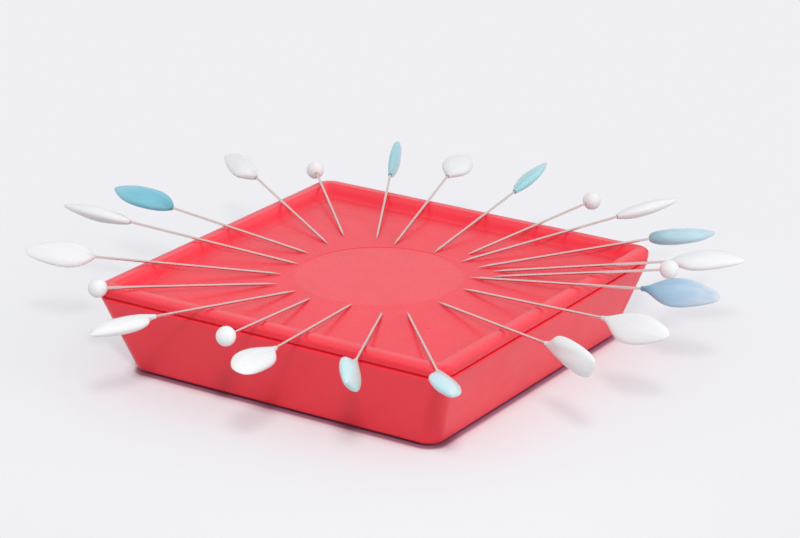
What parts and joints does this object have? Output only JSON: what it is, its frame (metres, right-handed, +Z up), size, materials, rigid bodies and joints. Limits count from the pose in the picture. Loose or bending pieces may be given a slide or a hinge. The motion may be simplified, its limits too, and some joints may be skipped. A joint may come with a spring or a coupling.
{
  "type": "magnetic pin bowl",
  "caption": "Square shallow magnetic tray on a hollow sloping base, with steel sewing pins lying on it like the rays of a star, their leaf-shaped heads over the rim.",
  "frame": {"origin": "on the table, at the middle of the sole's flat underside, under the middle of the tray", "axes": "+Z up, out of the tray. +X and +Y square to the tray's sides: the picture's front-left side faces -Y and its front-right side faces +X."},
  "size_m": [0.1712, 0.1659, 0.0301],
  "materials": {
    "tray_plastic": "satin red",
    "base_plastic": "satin red",
    "ferrite": "dark ground ferrite",
    "keeper_steel": "zinc plated",
    "foam": "closed-cell foam",
    "screw_steel": "zinc plated",
    "sole_rubber": "matt",
    "needle_steel": "nickel plated",
    "head_pearl": "pearly, slightly translucent",
    "head_aqua": "pearly, slightly translucent",
    "head_blue": "glossy, translucent",
    "head_ball": "glossy"
  },
  "bodies": {
    "housing": {"tray_top": "tray_plastic", "base_shell": "base_plastic", "magnet": "ferrite", "keeper_plate": "keeper_steel", "magnet_pad": "foam", "housing_screws": "screw_steel", "sole": "sole_rubber"},
    "pin_01": {"pin_01_needle": "needle_steel", "pin_01_head": "head_blue"},
    "pin_02": {"pin_02_needle": "needle_steel", "pin_02_head": "head_pearl"},
    "pin_03": {"pin_03_needle": "needle_steel", "pin_03_head": "head_pearl"},
    "pin_04": {"pin_04_needle": "needle_steel", "pin_04_head": "head_ball"},
    "pin_05": {"pin_05_needle": "needle_steel", "pin_05_head": "head_pearl"},
    "pin_06": {"pin_06_needle": "needle_steel", "pin_06_head": "head_ball"},
    "pin_07": {"pin_07_needle": "needle_steel", "pin_07_head": "head_pearl"},
    "pin_08": {"pin_08_needle": "needle_steel", "pin_08_head": "head_aqua"},
    "pin_09": {"pin_09_needle": "needle_steel", "pin_09_head": "head_aqua"},
    "pin_10": {"pin_10_needle": "needle_steel", "pin_10_head": "head_pearl"},
    "pin_11": {"pin_11_needle": "needle_steel", "pin_11_head": "head_pearl"},
    "pin_12": {"pin_12_needle": "needle_steel", "pin_12_head": "head_blue"},
    "pin_13": {"pin_13_needle": "needle_steel", "pin_13_head": "head_ball"},
    "pin_14": {"pin_14_needle": "needle_steel", "pin_14_head": "head_pearl"},
    "pin_15": {"pin_15_needle": "needle_steel", "pin_15_head": "head_blue"},
    "pin_16": {"pin_16_needle": "needle_steel", "pin_16_head": "head_pearl"},
    "pin_17": {"pin_17_needle": "needle_steel", "pin_17_head": "head_ball"},
    "pin_18": {"pin_18_needle": "needle_steel", "pin_18_head": "head_blue"},
    "pin_19": {"pin_19_needle": "needle_steel", "pin_19_head": "head_pearl"},
    "pin_20": {"pin_20_needle": "needle_steel", "pin_20_head": "head_blue"},
    "pin_21": {"pin_21_needle": "needle_steel", "pin_21_head": "head_ball"},
    "pin_22": {"pin_22_needle": "needle_steel", "pin_22_head": "head_pearl"}
  },
  "joints": [
    {"name": "pin_01_lift", "type": "slide", "parent": "housing", "child": "pin_01", "axis": [0, 0, 1], "range_m": [0, 0.05]},
    {"name": "pin_02_lift", "type": "slide", "parent": "housing", "child": "pin_02", "axis": [0, 0, 1], "range_m": [0, 0.05]},
    {"name": "pin_03_lift", "type": "slide", "parent": "housing", "child": "pin_03", "axis": [0, 0, 1], "range_m": [0, 0.05]},
    {"name": "pin_04_lift", "type": "slide", "parent": "housing", "child": "pin_04", "axis": [0, 0, 1], "range_m": [0, 0.05]},
    {"name": "pin_05_lift", "type": "slide", "parent": "housing", "child": "pin_05", "axis": [0, 0, 1], "range_m": [0, 0.05]},
    {"name": "pin_06_lift", "type": "slide", "parent": "housing", "child": "pin_06", "axis": [0, 0, 1], "range_m": [0, 0.05]},
    {"name": "pin_07_lift", "type": "slide", "parent": "housing", "child": "pin_07", "axis": [0, 0, 1], "range_m": [0, 0.05]},
    {"name": "pin_08_lift", "type": "slide", "parent": "housing", "child": "pin_08", "axis": [0, 0, 1], "range_m": [0, 0.05]},
    {"name": "pin_09_lift", "type": "slide", "parent": "housing", "child": "pin_09", "axis": [0, 0, 1], "range_m": [0, 0.05]},
    {"name": "pin_10_lift", "type": "slide", "parent": "housing", "child": "pin_10", "axis": [0, 0, 1], "range_m": [0, 0.05]},
    {"name": "pin_11_lift", "type": "slide", "parent": "housing", "child": "pin_11", "axis": [0, 0, 1], "range_m": [0, 0.05]},
    {"name": "pin_12_lift", "type": "slide", "parent": "housing", "child": "pin_12", "axis": [0, 0, 1], "range_m": [0, 0.05]},
    {"name": "pin_13_lift", "type": "slide", "parent": "housing", "child": "pin_13", "axis": [0, 0, 1], "range_m": [0, 0.05]},
    {"name": "pin_14_lift", "type": "slide", "parent": "housing", "child": "pin_14", "axis": [0, 0, 1], "range_m": [0, 0.05]},
    {"name": "pin_15_lift", "type": "slide", "parent": "housing", "child": "pin_15", "axis": [0, 0, 1], "range_m": [0, 0.05]},
    {"name": "pin_16_lift", "type": "slide", "parent": "housing", "child": "pin_16", "axis": [0, 0, 1], "range_m": [0, 0.05]},
    {"name": "pin_17_lift", "type": "slide", "parent": "housing", "child": "pin_17", "axis": [0, 0, 1], "range_m": [0, 0.05]},
    {"name": "pin_18_lift", "type": "slide", "parent": "housing", "child": "pin_18", "axis": [0, 0, 1], "range_m": [0, 0.05]},
    {"name": "pin_19_lift", "type": "slide", "parent": "housing", "child": "pin_19", "axis": [0, 0, 1], "range_m": [0, 0.05]},
    {"name": "pin_20_lift", "type": "slide", "parent": "housing", "child": "pin_20", "axis": [0, 0, 1], "range_m": [0, 0.05]},
    {"name": "pin_21_lift", "type": "slide", "parent": "housing", "child": "pin_21", "axis": [0, 0, 1], "range_m": [0, 0.05]},
    {"name": "pin_22_lift", "type": "slide", "parent": "housing", "child": "pin_22", "axis": [0, 0, 1], "range_m": [0, 0.05]}
  ]
}
